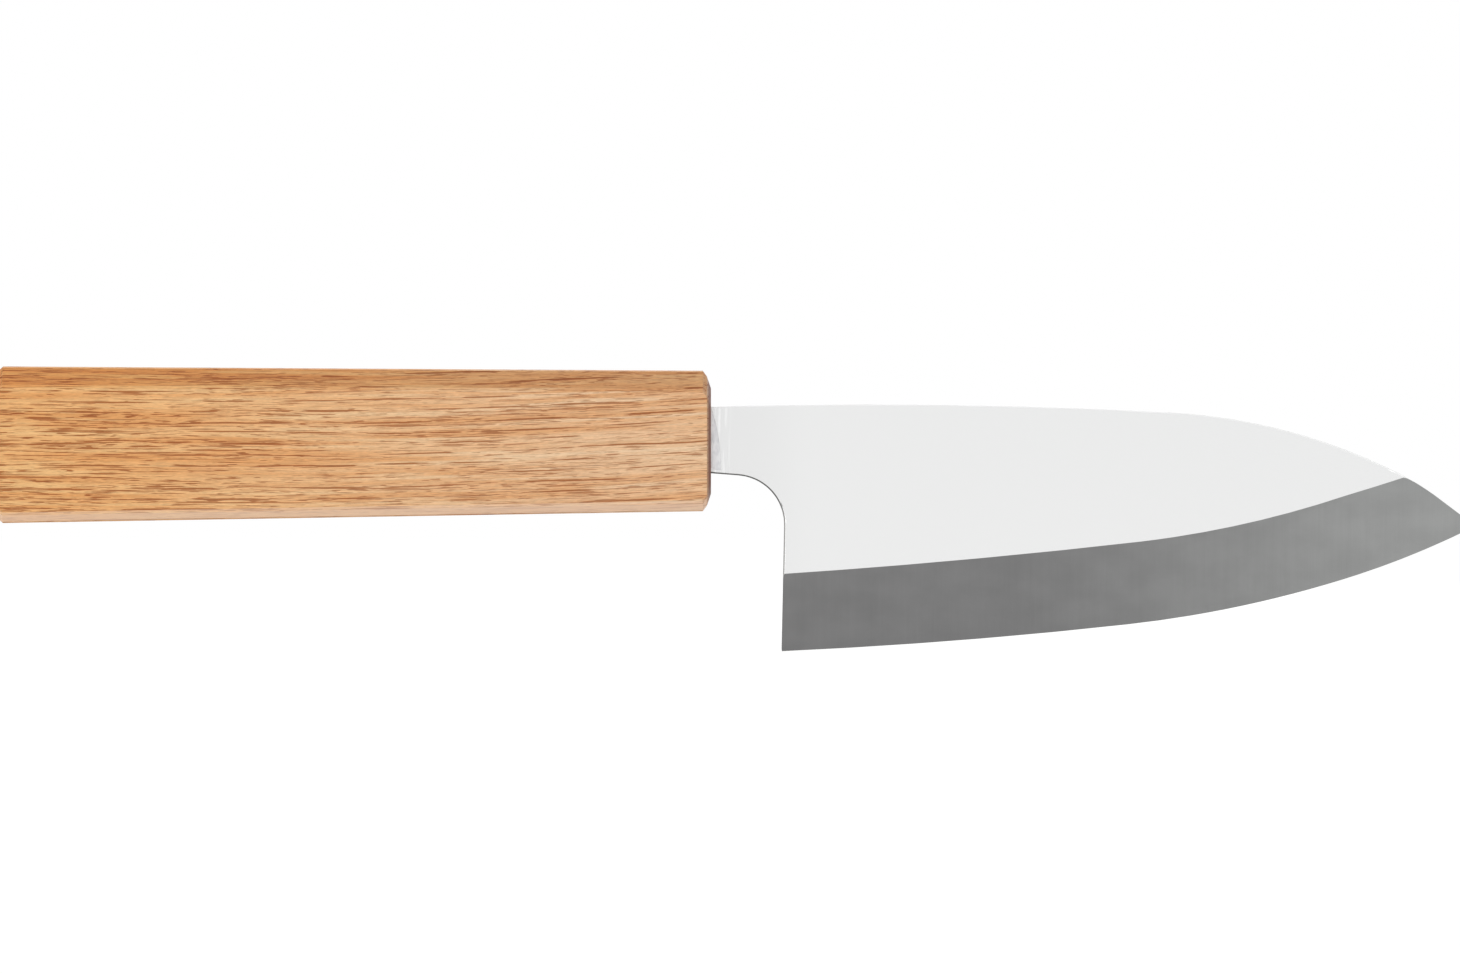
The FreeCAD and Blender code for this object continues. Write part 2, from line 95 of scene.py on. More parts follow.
# %% Arithmetic on numbers and on places
def calc(tree, operation, first, second=0.0):
    """Plain arithmetic on numbers."""
    return step(tree, "Math", {0: first, 1: second}, operation=operation).outputs[0]


def times(tree, first, *others):
    """Numbers multiplied with each other. Masks from 0 to 1 leave only what lies in all of them."""
    for other in others:
        first = calc(tree, "MULTIPLY", first, other)
    return first


def calc_vector(tree, operation, first, second):
    """Arithmetic on all three numbers of a place at once."""
    return step(tree, "VectorMath", {0: first, 1: second}, operation=operation).outputs["Vector"]


def scale(tree, vector, amount):
    """The three numbers of a place or a colour, each times the same amount."""
    return step(tree, "VectorMath", {0: vector, "Scale": amount}, operation="SCALE").outputs["Vector"]


def dot(tree, first, second):
    """How far one vector reaches along another."""
    return step(tree, "VectorMath", {0: first, 1: second}, operation="DOT_PRODUCT").outputs["Value"]


def split(tree, vector):
    """The X, Y and Z of a place or a direction."""
    return step(tree, "SeparateXYZ", {0: vector}).outputs


print("numbers and places can be worked out")

# %% Ramps and blends
def ramp(tree, value, start, end, low=0.0, high=1.0):
    """Goes softly from low to high while the value goes from start to end."""
    inputs = {"Value": value, "From Min": start, "From Max": end, "To Min": low, "To Max": high}
    return step(tree, "MapRange", inputs, interpolation_type="SMOOTHSTEP").outputs[0]


def spread(tree, soft, reach, low=0.0, high=1.0):
    """Noise gathers round a half. What lies within reach of it is stretched to fill low to high."""
    return ramp(tree, soft, 0.5 - reach, 0.5 + reach, low, high)


def blend_colours(tree, share, first, second, way="MIX"):
    """The second colour laid over the first by a share between 0 and 1."""
    inputs = {0: share, 6: first, 7: second}
    return step(tree, "Mix", inputs, data_type="RGBA", blend_type=way).outputs[2]


def blend_numbers(tree, share, first, second):
    """The second number in place of the first by a share between 0 and 1."""
    return step(tree, "Mix", {0: share, 2: first, 3: second}, data_type="FLOAT").outputs[0]


def colour(red, green, blue):
    return (red, green, blue, 1.0)


print("ramps and blends are ready")

# %% Noise and relief
def noise(tree, place, lengths, detail=2.0, output="Fac"):
    """Soft random variation, as long each way as the lengths say, in millimetres."""
    stretched = calc_vector(tree, "DIVIDE", place, lengths)
    return step(tree, "TexNoise", {"Vector": stretched, "Scale": 1.0, "Detail": detail}).outputs[output]


def give_relief(tree, shader, height, strength, depth):
    """The surface is shaded as if it rose and fell with the height, by a depth in millimetres."""
    bump = step(tree, "Bump", {"Height": height, "Strength": strength, "Distance": depth * MM})
    wire(tree, bump.outputs["Normal"], shader.inputs["Normal"])


print("noise and relief are ready")

# %% [markdown]
# ## Where a point lies and which way it faces
#
# The same three facts feed all finishes: the place in millimetres, the direction that the surface faces,
# and how far the point lies below one of the blade's two flat sides. The last one tells the hollow and the
# unpolished patch from the flat around them. The flat right side is a mount in the knife's record, so its
# place and direction are read there. The left side is its mirror image.

# %% Place, facing and depth below a flat side
def start_material(name):
    """A material, its tree, its shader, and the place in millimetres and the facing of each point."""
    material = bpy.data.materials.new(name)
    material.use_nodes = True
    tree = material.node_tree
    shader = tree.nodes["Principled BSDF"]
    place = scale(tree, step(tree, "TexCoord", {}).outputs["Object"], 1 / MM)
    facing = step(tree, "NewGeometry", {}).outputs["True Normal"]
    return material, tree, shader, place, facing


MIRROR = Vector((1, -1, 1))
flat_point = Vector(mounts["flat_side"]["pos_m"]) / MM
flat_facing = Vector(mounts["flat_side"]["axis"])
flat_sides = {"right": (flat_point, flat_facing), "left": (flat_point * MIRROR, flat_facing * MIRROR)}


def depth_below(tree, place, side):
    """How many millimetres a point lies below the flat of the right or the left side."""
    point, outward = flat_sides[side]
    return dot(tree, calc_vector(tree, "SUBTRACT", tuple(point), place), tuple(outward))


print(f"the flat right side faces {tuple(round(part, 4) for part in flat_facing)}")

# %% Places along the knife
JUST_BEHIND_HEEL = 8.0

_, handle_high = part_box("handle")
_, blade_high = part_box("blade")
handle_front = handle_high.x / MM
tip = blade_high.x / MM
print(f"handle up to {handle_front:.1f} mm, neck up to {JUST_BEHIND_HEEL:.1f} mm, tip at {tip:.1f} mm")

# %% [markdown]
# ## Steel
#
# One piece of steel, six finishes. The flat sides are polished almost bright, with painted shade at the
# neck. The bevel is ground on a stone, which leaves a darker, softer grey with fine lines from the ridge
# down to the edge; towards the tip it is painted paler, as a lighter reflection where the bevel turns less
# from the flat. The hollow of the left side keeps the long lines of the grinding wheel and gets painted
# shade where it is deepest. The spine is satin, and the choil and the underside of the neck are painted dark
# as shade. Beside the handle a small patch is left rough, where no polishing wheel reaches, with streaks of
# painted highlight next to it.
#
# All of them could be separate materials on separate faces. One material with masks is chosen instead,
# because the masks follow the ridge and the curved edges exactly, whatever faces the surface is made of.

# %% Tones of the steel
FLAT_TONE = colour(0.805, 0.808, 0.806)
# Painted shade: the flat side is darker at the neck, where its reflection is dimmer.
FLAT_NECK_PAINTED_SHADE = colour(0.775, 0.777, 0.775)
# Painted highlight: brighter streaks beside the handle, next to the edge of the patch.
STREAK_PAINTED_HIGHLIGHT = colour(0.865, 0.866, 0.866)
BEVEL_DARK = colour(0.19, 0.19, 0.19)
# Painted light: the bevel is painted paler towards the tip, as a lighter reflection.
BEVEL_TIP_PAINTED_LIGHT = colour(0.292, 0.296, 0.292)
HOLLOW_RIM_TONE = colour(0.6, 0.605, 0.6)
# Painted shade: the hollow is darkened where it lies deepest.
HOLLOW_DEEP_PAINTED_SHADE = colour(0.43, 0.434, 0.43)
SPINE_TONE = colour(0.56, 0.562, 0.56)
SPINE_EDGE_TONE = colour(0.86, 0.862, 0.86)
# Painted shade: the choil and the heel's rounding are darkened, the choil most where it faces down.
CHOIL_PAINTED_SHADE = colour(0.15, 0.153, 0.15)
HEEL_PAINTED_SHADE = colour(0.36, 0.363, 0.36)
PATCH_DARK = colour(0.7, 0.71, 0.73)
PATCH_PALE = colour(0.84, 0.845, 0.855)
shares = " to ".join(f"{tone[0] / FLAT_TONE[0]:.0%}" for tone in (BEVEL_DARK, BEVEL_TIP_PAINTED_LIGHT))
print(f"the bevel reflects {shares} of what the flat side does")

# %% [markdown]
# ### Lines of the grinding
#
# A grinding line is noise that is short across the line and long along it. On the bevel the lines stand
# upright, in the hollow they lie along the blade. A wave texture would give lines too, but all alike. So
# noise is taken, and two sizes of it are laid over each other, because a single size looks printed.

# %% Grinding lines
FINE_LINE = 0.16
BROAD_LINE = 1.1
BEVEL_LINE_LENGTH = 9.0
HOLLOW_LINE_LENGTH = 55.0


def grinding(tree, place, fine, broad):
    """Lines from about -1 to 1, from a fine and a broad noise."""
    both = calc(tree, "ADD", noise(tree, place, fine, detail=3.0), noise(tree, place, broad, detail=1.0))
    return calc(tree, "SUBTRACT", both, 1.0)


def upright_lines(tree, place):
    fine = (FINE_LINE, BEVEL_LINE_LENGTH, BEVEL_LINE_LENGTH)
    broad = (BROAD_LINE, BEVEL_LINE_LENGTH * 2, BEVEL_LINE_LENGTH * 2)
    return grinding(tree, place, fine, broad)


def lengthwise_lines(tree, place):
    fine = (HOLLOW_LINE_LENGTH, FINE_LINE, FINE_LINE)
    broad = (HOLLOW_LINE_LENGTH * 2, BROAD_LINE, BROAD_LINE)
    return grinding(tree, place, fine, broad)


print(f"lines {FINE_LINE} and {BROAD_LINE} mm wide")

# %% [markdown]
# ### Where each finish lies
#
# A mask is a number that is 1 on one finish and 0 elsewhere. It could be painted on the surface by hand,
# but one that is worked out stays right wherever the surface runs. The bevel and the neck's underside both
# lean down, so the heel tells them apart. The narrow faces are found by how little they face sideways, and
# the patch and the hollow by how deep they lie. Each pair below says where a mask starts and where it is
# full. The first three are shares of a facing, and the others are millimetres.

# %% Masks for the finishes of the blade
LEANING = (-0.06, -0.1)
SIDE_FACE = (0.86, 0.93)
NARROW_FACE = (0.995, 0.9)
PATCH_STEP = (0.05, 0.09)
PATCH_END = (3.0, 2.9)
HOLLOW_RIM = (0.004, 0.05)


def steel_masks(tree, place, facing):
    """A mask from 0 to 1 for each finish that isn't the flat side's."""
    x, _, _ = split(tree, place)
    facing_x, facing_y, facing_z = split(tree, facing)
    sideways = calc(tree, "ABSOLUTE", facing_y)
    side_face = ramp(tree, sideways, *SIDE_FACE)
    narrow_face = ramp(tree, sideways, *NARROW_FACE)
    on_right = calc(tree, "LESS_THAN", facing_y, 0.0)
    on_left = calc(tree, "SUBTRACT", 1.0, on_right)

    leans_back = ramp(tree, facing_x, *LEANING)
    leans_down = ramp(tree, facing_z, *LEANING)
    underside = times(tree, leans_down, calc(tree, "LESS_THAN", x, JUST_BEHIND_HEEL))
    bevel = times(tree, leans_down, calc(tree, "GREATER_THAN", x, JUST_BEHIND_HEEL))

    from_handle = calc(tree, "SUBTRACT", x, handle_front)
    right_depth = depth_below(tree, place, "right")
    left_depth = depth_below(tree, place, "left")
    sunk = ramp(tree, blend_numbers(tree, on_right, left_depth, right_depth), *PATCH_STEP)
    return {
        "spine": narrow_face,
        "bevel": times(tree, bevel, side_face, on_right),
        "hollow": times(tree, ramp(tree, left_depth, *HOLLOW_RIM), on_left, side_face),
        "patch": times(tree, sunk, ramp(tree, from_handle, *PATCH_END), side_face),
        # The choil mask carries painted shade on the back and the underside of the neck.
        "choil": times(tree, calc(tree, "MAXIMUM", leans_back, underside), narrow_face),
    }


print("masks: spine, bevel, hollow, patch and choil")

# %% [markdown]
# ### The flat side and the bevel
#
# The flat side is one tone, with painted shade at the neck and streaks of painted highlight beside the
# handle, and what makes it look like steel is what it mirrors. The bevel needs more: besides its lines it
# has soft clouds, because no hand holds a stone with the same pressure everywhere, and towards the tip it is
# painted paler as a lighter reflection.

# %% Tone of the flat side
# Where the painted shade of the neck fades into the bright flat, in millimetres.
NECK_SHADE_ZONE = (2.0, 14.0)
# Streaks of painted highlight beside the handle: their size, their level and their zone.
STREAK_LENGTHS = (0.45, 7.0, 7.0)
STREAKS = (0.46, 0.62)
HIGHLIGHT_STREAK_ZONE = (4.0, 1.8)


def flat_side_tone(tree, place):
    """Polished bright, with painted shade at the neck and streaks of painted highlight beside the handle."""
    x, _, _ = split(tree, place)
    tone = blend_colours(tree, ramp(tree, x, *NECK_SHADE_ZONE), FLAT_NECK_PAINTED_SHADE, FLAT_TONE)
    beside_handle = ramp(tree, calc(tree, "SUBTRACT", x, handle_front), *HIGHLIGHT_STREAK_ZONE)
    # The painted highlight, broken into streaks beside the handle.
    highlight_streaks = times(tree, ramp(tree, noise(tree, place, STREAK_LENGTHS), *STREAKS), beside_handle)
    return blend_colours(tree, highlight_streaks, tone, STREAK_PAINTED_HIGHLIGHT)


print(f"streaks up to {HIGHLIGHT_STREAK_ZONE[0]} mm from the handle")

# %% Tone of the bevel
# Where the bevel's painted paler reflection starts and where it is full, in millimetres.
PAINTED_PALING_START = 38.0
PAINTED_PALING_END = tip + 4.0
LINE_CONTRAST = 0.07
CLOUD_LENGTHS = (9.0, 6.0, 6.0)
CLOUD_REACH = 0.25
CLOUD_SHADES = (0.945, 1.055)


def bevel_tone(tree, place, lines):
    """Dark at the heel and painted paler towards the tip as a lighter reflection, with fine lines and soft
    clouds.
    """
    x, _, _ = split(tree, place)
    tone = blend_colours(tree, ramp(tree, x, PAINTED_PALING_START, PAINTED_PALING_END), BEVEL_DARK, BEVEL_TIP_PAINTED_LIGHT)
    clouds = spread(tree, noise(tree, place, CLOUD_LENGTHS, detail=3.0), CLOUD_REACH, *CLOUD_SHADES)
    return scale(tree, tone, calc(tree, "ADD", times(tree, lines, LINE_CONTRAST), clouds))


print(f"the bevel gets paler from {PAINTED_PALING_START:.0f} mm on")

# %% [markdown]
# ### The hollow, the narrow faces and the patch
#
# The hollow is painted darker as it gets deeper, a painted shade in what it mirrors, and its lines are
# strong, because a coarse wheel made them. The spine is bright along its rounded edges and satin between
# them. The choil and the heel get painted shade, darkest under the neck where they face down, and the patch
# is mottled, as steel is before it is polished.

# %% Tones of the hollow, the narrow faces and the patch
# The depth at which the painted shade of the hollow is full, in millimetres.
HOLLOW_FULL_SHADE_DEPTH = 0.3
HOLLOW_LINES = (-0.5, 0.5)
HOLLOW_SHADES = (0.86, 1.14)
ROUNDED_EDGE = (0.8, 0.4)
# Facings over which the painted shade of the choil deepens.
SHADED_FACING_DOWN = (-0.05, -0.4)
MOTTLE_LENGTHS = (0.9, 0.9, 1.6)
MOTTLES = (0.36, 0.62)


def hollow_tone(tree, place, lines):
    """Painted shade that grows with the depth, and brighter and darker along the lines of the wheel."""
    depth_shade = ramp(tree, depth_below(tree, place, "left"), 0.0, HOLLOW_FULL_SHADE_DEPTH)
    tone = blend_colours(tree, depth_shade, HOLLOW_RIM_TONE, HOLLOW_DEEP_PAINTED_SHADE)
    return scale(tree, tone, ramp(tree, lines, *HOLLOW_LINES, *HOLLOW_SHADES))


def spine_tone(tree, facing):
    _, facing_y, _ = split(tree, facing)
    on_top = ramp(tree, calc(tree, "ABSOLUTE", facing_y), *ROUNDED_EDGE)
    return blend_colours(tree, on_top, SPINE_EDGE_TONE, SPINE_TONE)


# Painted shade on the choil: darkest where it faces down, lighter on the heel's rounding.
def choil_painted_shade(tree, facing):
    _, _, facing_z = split(tree, facing)
    return blend_colours(tree, ramp(tree, facing_z, *SHADED_FACING_DOWN), HEEL_PAINTED_SHADE, CHOIL_PAINTED_SHADE)


def patch_tone(tree, place):
    mottled = ramp(tree, noise(tree, place, MOTTLE_LENGTHS, detail=3.0), *MOTTLES)
    return blend_colours(tree, mottled, PATCH_DARK, PATCH_PALE)


print(f"the hollow is darkest from {HOLLOW_FULL_SHADE_DEPTH} mm down")

# %% [markdown]
# ### The steel put together
#
# The tones are laid over each other in the order of the list: the satin of the spine on the polished blade,
# then the bevel and the hollow that are ground into it, and last the patch, which no wheel has touched, and
# the painted shade of the choil. Roughness follows the same masks, and a very shallow relief gives the lines
# an edge that catches the light.

# %% Steel material
POLISHED = 0.2
ROUGHNESSES = {"spine": 0.45, "bevel": 0.36, "hollow": 0.3, "patch": 0.32, "choil": 0.6}
SPOT_LENGTHS = (0.5, 0.5, 0.9)
SPOT_HEIGHT = 6.0
RELIEF_STRENGTH = 0.5
LINE_DEPTH = 0.004


def steel_finish():
    material, tree, shader, place, facing = start_material("ground_steel")
    masks = steel_masks(tree, place, facing)
    upright = upright_lines(tree, place)
    lengthwise = lengthwise_lines(tree, place)
    tones = {
        "spine": spine_tone(tree, facing),
        "bevel": bevel_tone(tree, place, upright),
        "hollow": hollow_tone(tree, place, lengthwise),
        "patch": patch_tone(tree, place),
        "choil": choil_painted_shade(tree, facing),
    }
    tone = flat_side_tone(tree, place)
    roughness = POLISHED
    for finish, upper_tone in tones.items():
        tone = blend_colours(tree, masks[finish], tone, upper_tone)
        roughness = blend_numbers(tree, masks[finish], roughness, ROUGHNESSES[finish])
    wire(tree, tone, shader.inputs["Base Color"])
    wire(tree, roughness, shader.inputs["Roughness"])
    shader.inputs["Metallic"].default_value = 1.0

    relief = calc(
        tree, "ADD", times(tree, upright, masks["bevel"]), times(tree, lengthwise, masks["hollow"])
    )
    spots = times(tree, noise(tree, place, SPOT_LENGTHS, detail=4.0), masks["patch"], SPOT_HEIGHT)
    give_relief(tree, shader, calc(tree, "ADD", relief, spots), RELIEF_STRENGTH, LINE_DEPTH)
    return material


steel = steel_finish()
print(f"{steel.name}: {len(steel.node_tree.nodes)} steps")

# %% [markdown]
# ## Oak
#
# Oak is ring-porous: every spring the tree grows a row of wide vessels, and in summer dense wood with few
# of them. Cut lengthwise, the vessels are the short dark dashes that run along the handle, and the rows are
# why they gather in lines. Cut across, at the two ends, the same vessels are dots. A picture glued to the
# surface can't do both, so the wood is a solid pattern in space: rings round a pith that lies outside the
# handle, and long thin cells for the vessels. Each facet then shows the cut that it would have in a real
# piece.

# %% Tones of the oak
PALE_WOOD = colour(0.765, 0.475, 0.24)
HONEY_WOOD = colour(0.69, 0.355, 0.14)
CREAM_WOOD = colour(0.81, 0.58, 0.33)
RED_WOOD = colour(0.56, 0.235, 0.1)
BUTT_TINT = colour(0.99, 0.872, 0.665)
FRONT_TINT = colour(0.975, 1.0, 1.135)
VESSEL_TINT = colour(0.45, 0.25, 0.12)
# Painted shade on the upper slanted facets, and a painted sheen on the lower ones.
UPPER_BUTT_PAINTED_SHADE = colour(0.87, 0.74, 0.54)
UPPER_FRONT_PAINTED_SHADE = colour(0.78, 0.64, 0.46)
LOWER_PAINTED_SHEEN = colour(0.97, 0.72, 0.54)
END_TONE = colour(0.145, 0.055, 0.036)
print(f"a vessel keeps {VESSEL_TINT[0]:.0%} of the wood's red and {VESSEL_TINT[2]:.0%} of its blue")

# %% [markdown]
# ### Grain and rings
#
# No tree grows quite straight. Before the pattern is laid through a point, its place is shifted a little,
# and all that follows uses the shifted place. So rings, vessels and fibres wander together, and all of them
# rise towards the front of the handle, as beside a branch.

# %% The wandering grain
BEND_START = -75.0
BEND = 0.00045
WANDER_LENGTHS = (50.0, 9.0, 9.0)
WANDER = (0.0, 1.2, 1.2)
MIDDLE = (0.5, 0.5, 0.5)


def wandering(tree, place):
    """The place, shifted across the handle, so that the lines of the wood wander and rise to the front."""
    x, _, _ = split(tree, place)
    past_start = calc(tree, "MAXIMUM", calc(tree, "SUBTRACT", x, BEND_START), 0.0)
    rise = step(tree, "CombineXYZ", {2: times(tree, past_start, past_start, BEND)}).outputs["Vector"]
    place = calc_vector(tree, "SUBTRACT", place, rise)
    slow = noise(tree, place, WANDER_LENGTHS, detail=1.0, output="Color")
    shift = calc_vector(tree, "MULTIPLY", calc_vector(tree, "SUBTRACT", slow, MIDDLE), WANDER)
    return calc_vector(tree, "ADD", place, shift)


print(f"the grain rises {BEND * (handle_front - BEND_START) ** 2:.1f} mm to the front")

# %% Rings round the pith
PITH = (0.0, 14.0, -60.0)
RING_WIDTH = 1.8
RING_WAVES = (90.0, 3.5, 3.5)
ACROSS = (0.0, 1.0, 1.0)


def ring_position(tree, grain):
    """How far through its growing year the wood at a point is, from 0 to 1, with spring in the middle."""
    from_pith = calc_vector(tree, "MULTIPLY", calc_vector(tree, "SUBTRACT", grain, PITH), ACROSS)
    radius = step(tree, "VectorMath", {0: from_pith}, operation="LENGTH").outputs["Value"]
    years = calc(tree, "ADD", calc(tree, "DIVIDE", radius, RING_WIDTH), noise(tree, grain, RING_WAVES))
    return calc(tree, "FRACT", years)


print(f"rings {RING_WIDTH} mm wide, with the pith {math.hypot(PITH[1], PITH[2]):.0f} mm away")

# %% [markdown]
# ### Long thin marks
#
# Vessels, flecks and the paler bands are all the same thing at different sizes: noise stretched along the
# grain, of which only the peaks are kept. A low level keeps many peaks and a high one few. Each kind starts
# at its own place in the noise, or else they would all lie on top of each other. Stretched Voronoi cells
# would make dashes as well, but neat ones of nearly one size, which wood doesn't have.

# %% Marks of four kinds
MARKS = {
    "vessels": {"lengths": (10.0, 0.2, 0.2), "start": 3.0, "softness": 0.045},
    "small vessels": {"lengths": (3.6, 0.17, 0.17), "start": 41.0, "softness": 0.045},
    "red flecks": {"lengths": (9.0, 0.35, 0.35), "start": 87.0, "softness": 0.08},
    "cream bands": {"lengths": (45.0, 1.1, 1.1), "start": 63.0, "softness": 0.12},
}


def marks(tree, grain, kind, level):
    """Long thin marks of a kind, where its stretched noise is above a level."""
    start = MARKS[kind]["start"]
    moved = calc_vector(tree, "ADD", grain, (start, start, start))
    above = calc(tree, "SUBTRACT", noise(tree, moved, MARKS[kind]["lengths"], detail=1.5), level)
    return ramp(tree, above, 0.0, MARKS[kind]["softness"])


for kind, mark in MARKS.items():
    print(f"{kind}: {mark['lengths'][0]} mm long and {mark['lengths'][1]} mm thick")

# %% Rows of vessels
ROW_LENGTHS = (11.0, 0.7, 0.7)
ROW_REACH = 0.14
ROW_HALF_WIDTHS = (-0.1, 0.145)
ROW_EDGE = (0.04, -0.02)


def vessel_rows(tree, grain, year):
    """The row of wide vessels of each spring: a thin dark line, thick in places and broken in others."""
    from_row = times(tree, calc(tree, "ABSOLUTE", calc(tree, "SUBTRACT", year, 0.5)), RING_WIDTH)
    fullness = noise(tree, grain, ROW_LENGTHS, detail=3.0)
    half_width = spread(tree, fullness, ROW_REACH, *ROW_HALF_WIDTHS)
    return ramp(tree, calc(tree, "SUBTRACT", from_row, half_width), *ROW_EDGE)


print(f"rows up to {ROW_HALF_WIDTHS[1] * 2:.2f} mm thick, and broken where the width is below nothing")

# %% [markdown]
# ### All vessels
#
# Besides the rows there are single vessels. There are more of them towards the butt and in the first half
# of each ring. A slow noise leaves calm stretches between busy ones, which is what keeps the pattern from
# looking like cloth.

# %% Rows and single vessels together
NEAR_BUTT = -125.0
MIDDLE_OF_HANDLE = -60.0
PAST_MIDDLE = -40.0
CALM_LENGTHS = (38.0, 6.0, 6.0)
CALM_REACH = 0.12
CALM_LEVELS = (-0.005, 0.045)
VESSEL_LEVELS = (0.575, 0.59)
LATE_LEVEL = 0.63
EARLY_LEVEL = 0.565
SINGLE_DARKNESS = (0.95, 0.75)
ROW_DARKNESS = 0.92


def vessel_cover(tree, x, grain):
    """How dark a point is with vessels, from 0 to 1."""
    year = ring_position(tree, grain)
    calm = spread(tree, noise(tree, grain, CALM_LENGTHS, detail=1.0), CALM_REACH, *CALM_LEVELS)
    level = calc(tree, "ADD", calm, ramp(tree, x, NEAR_BUTT, MIDDLE_OF_HANDLE, *VESSEL_LEVELS))
    vessels = marks(tree, grain, "vessels", level)
    early = ramp(tree, year, 1.0, 0.5)
    small_level = calc(tree, "ADD", calm, blend_numbers(tree, early, LATE_LEVEL, EARLY_LEVEL))
    small_vessels = marks(tree, grain, "small vessels", small_level)

    darkness = ramp(tree, x, NEAR_BUTT, PAST_MIDDLE, *SINGLE_DARKNESS)
    single = times(tree, calc(tree, "MAXIMUM", vessels, small_vessels), darkness)
    return calc(tree, "MAXIMUM", single, times(tree, vessel_rows(tree, grain, year), ROW_DARKNESS))


print(f"single vessels go from {SINGLE_DARKNESS[0]:.0%} to {SINGLE_DARKNESS[1]:.0%} dark along the handle")

# %% [markdown]
# ### The wood between the vessels
#
# Three scales make plain wood look like wood: streaks and paler bands about half as long as the handle, red
# flecks of almost a centimetre, and fibres so fine that they only give the surface a tooth. The whole is
# yellower at the butt and cooler at the front.

# %% Plain wood
WOOD_STREAK_LENGTHS = (60.0, 1.9, 1.9)
WOOD_STREAK_REACH = 0.15
CREAM_LEVEL = 0.53
CREAM_SHARE = 0.6
FLECK_LEVEL = 0.66
FLECK_SHARE = 0.35
FIBRE_REACH = 0.3
FIBRE_SHADES = (-0.13, 0.13)
SPECK_LENGTHS = (0.9, 0.13, 0.13)
SPECK_REACH = 0.25
SPECK_SHADES = (0.91, 1.09)


def plain_wood(tree, grain, fibres, to_front):
    """Honey and pale streaks, cream bands, the change of tint, fibres and flecks."""
    streaks = spread(tree, noise(tree, grain, WOOD_STREAK_LENGTHS, detail=3.0), WOOD_STREAK_REACH)
    tone = blend_colours(tree, streaks, HONEY_WOOD, PALE_WOOD)
    cream = times(tree, marks(tree, grain, "cream bands", CREAM_LEVEL), CREAM_SHARE)
    tone = blend_colours(tree, cream, tone, CREAM_WOOD)
    tint = blend_colours(tree, to_front, BUTT_TINT, FRONT_TINT)
    tone = blend_colours(tree, 1.0, tone, tint, "MULTIPLY")

    fine = spread(tree, fibres, FIBRE_REACH, *FIBRE_SHADES)
    finest = spread(tree, noise(tree, grain, SPECK_LENGTHS), SPECK_REACH, *SPECK_SHADES)
    tone = scale(tree, tone, calc(tree, "ADD", fine, finest))
    flecks = times(tree, marks(tree, grain, "red flecks", FLECK_LEVEL), FLECK_SHARE)
    return blend_colours(tree, flecks, tone, RED_WOOD)


print(f"specks {SPECK_LENGTHS[1]} mm thick")

# %% [markdown]
# ### Painted light on the slanted facets, and the front end
#
# The slanted facets get painted light: the upper ones a painted shade, the lower ones a paler painted
# sheen, as if more light came from below. They could be a material of their own, but then the grain would
# need to be made twice, so the same wood is only tinted by which way it faces. At the front end the fibres
# are cut across and drink the oil, so the end and the chamfer that leads to it are dark.

# %% Facets and front end
SLANTED = (0.25, 0.5)
NOT_LEVEL = (0.9, 0.8)
# How much of the painted sheen the lower facets get.
LOWER_SHEEN_SHARE = 0.6
CUT_ACROSS = (0.25, 0.6)
UPRIGHT = (0.45, 0.25)
UPRIGHT_SHARES = (0.3, 1.0)
CHAMFER = (-0.7, -0.25)
CHAMFER_SHARES = (0.4, 0.96)


def slanted(tree, up_or_down):
    """1 on the facets that slant this way, and 0 on the level and the upright ones."""
    return times(tree, ramp(tree, up_or_down, *SLANTED), ramp(tree, up_or_down, *NOT_LEVEL))


# Painted light: the upper slanted facets are darkened as shade, the lower ones paled as a sheen.
def paint_facet_shade_and_sheen(tree, tone, facing, to_front):
    _, _, up = split(tree, facing)
    upper_shade = blend_colours(tree, to_front, UPPER_BUTT_PAINTED_SHADE, UPPER_FRONT_PAINTED_SHADE)
    tone = blend_colours(tree, slanted(tree, up), tone, upper_shade, "MULTIPLY")
    down = calc(tree, "MULTIPLY", up, -1.0)
    return blend_colours(tree, times(tree, slanted(tree, down), LOWER_SHEEN_SHARE), tone, LOWER_PAINTED_SHEEN)


def darken_front_end(tree, tone, x, facing):
    forward, _, up = split(tree, facing)
    upright = ramp(tree, calc(tree, "ABSOLUTE", up), *UPRIGHT, *UPRIGHT_SHARES)
    from_front = calc(tree, "SUBTRACT", x, handle_front)
    share = times(tree, upright, ramp(tree, from_front, *CHAMFER, *CHAMFER_SHARES))
    return blend_colours(tree, times(tree, ramp(tree, forward, *CUT_ACROSS), share), tone, END_TONE)


print(f"the front end gets dark over its last {-CHAMFER[0]} mm")

# %% [markdown]
# ### The oak put together
#
# The vessels multiply the wood's tone instead of replacing it, because they are shadows in open pores and
# not paint. They are also rougher than the oiled wood and lie a little lower, which the relief shows in
# glancing light.

# %% Oak material
NEAR_FRONT = -10.0
FIBRE_LENGTHS = (3.6, 0.17, 0.17)
OILED = 0.46
OPEN_PORE = 0.75
FIBRE_HEIGHT = 0.35
WOOD_RELIEF_STRENGTH = 0.4
PORE_DEPTH = 0.03


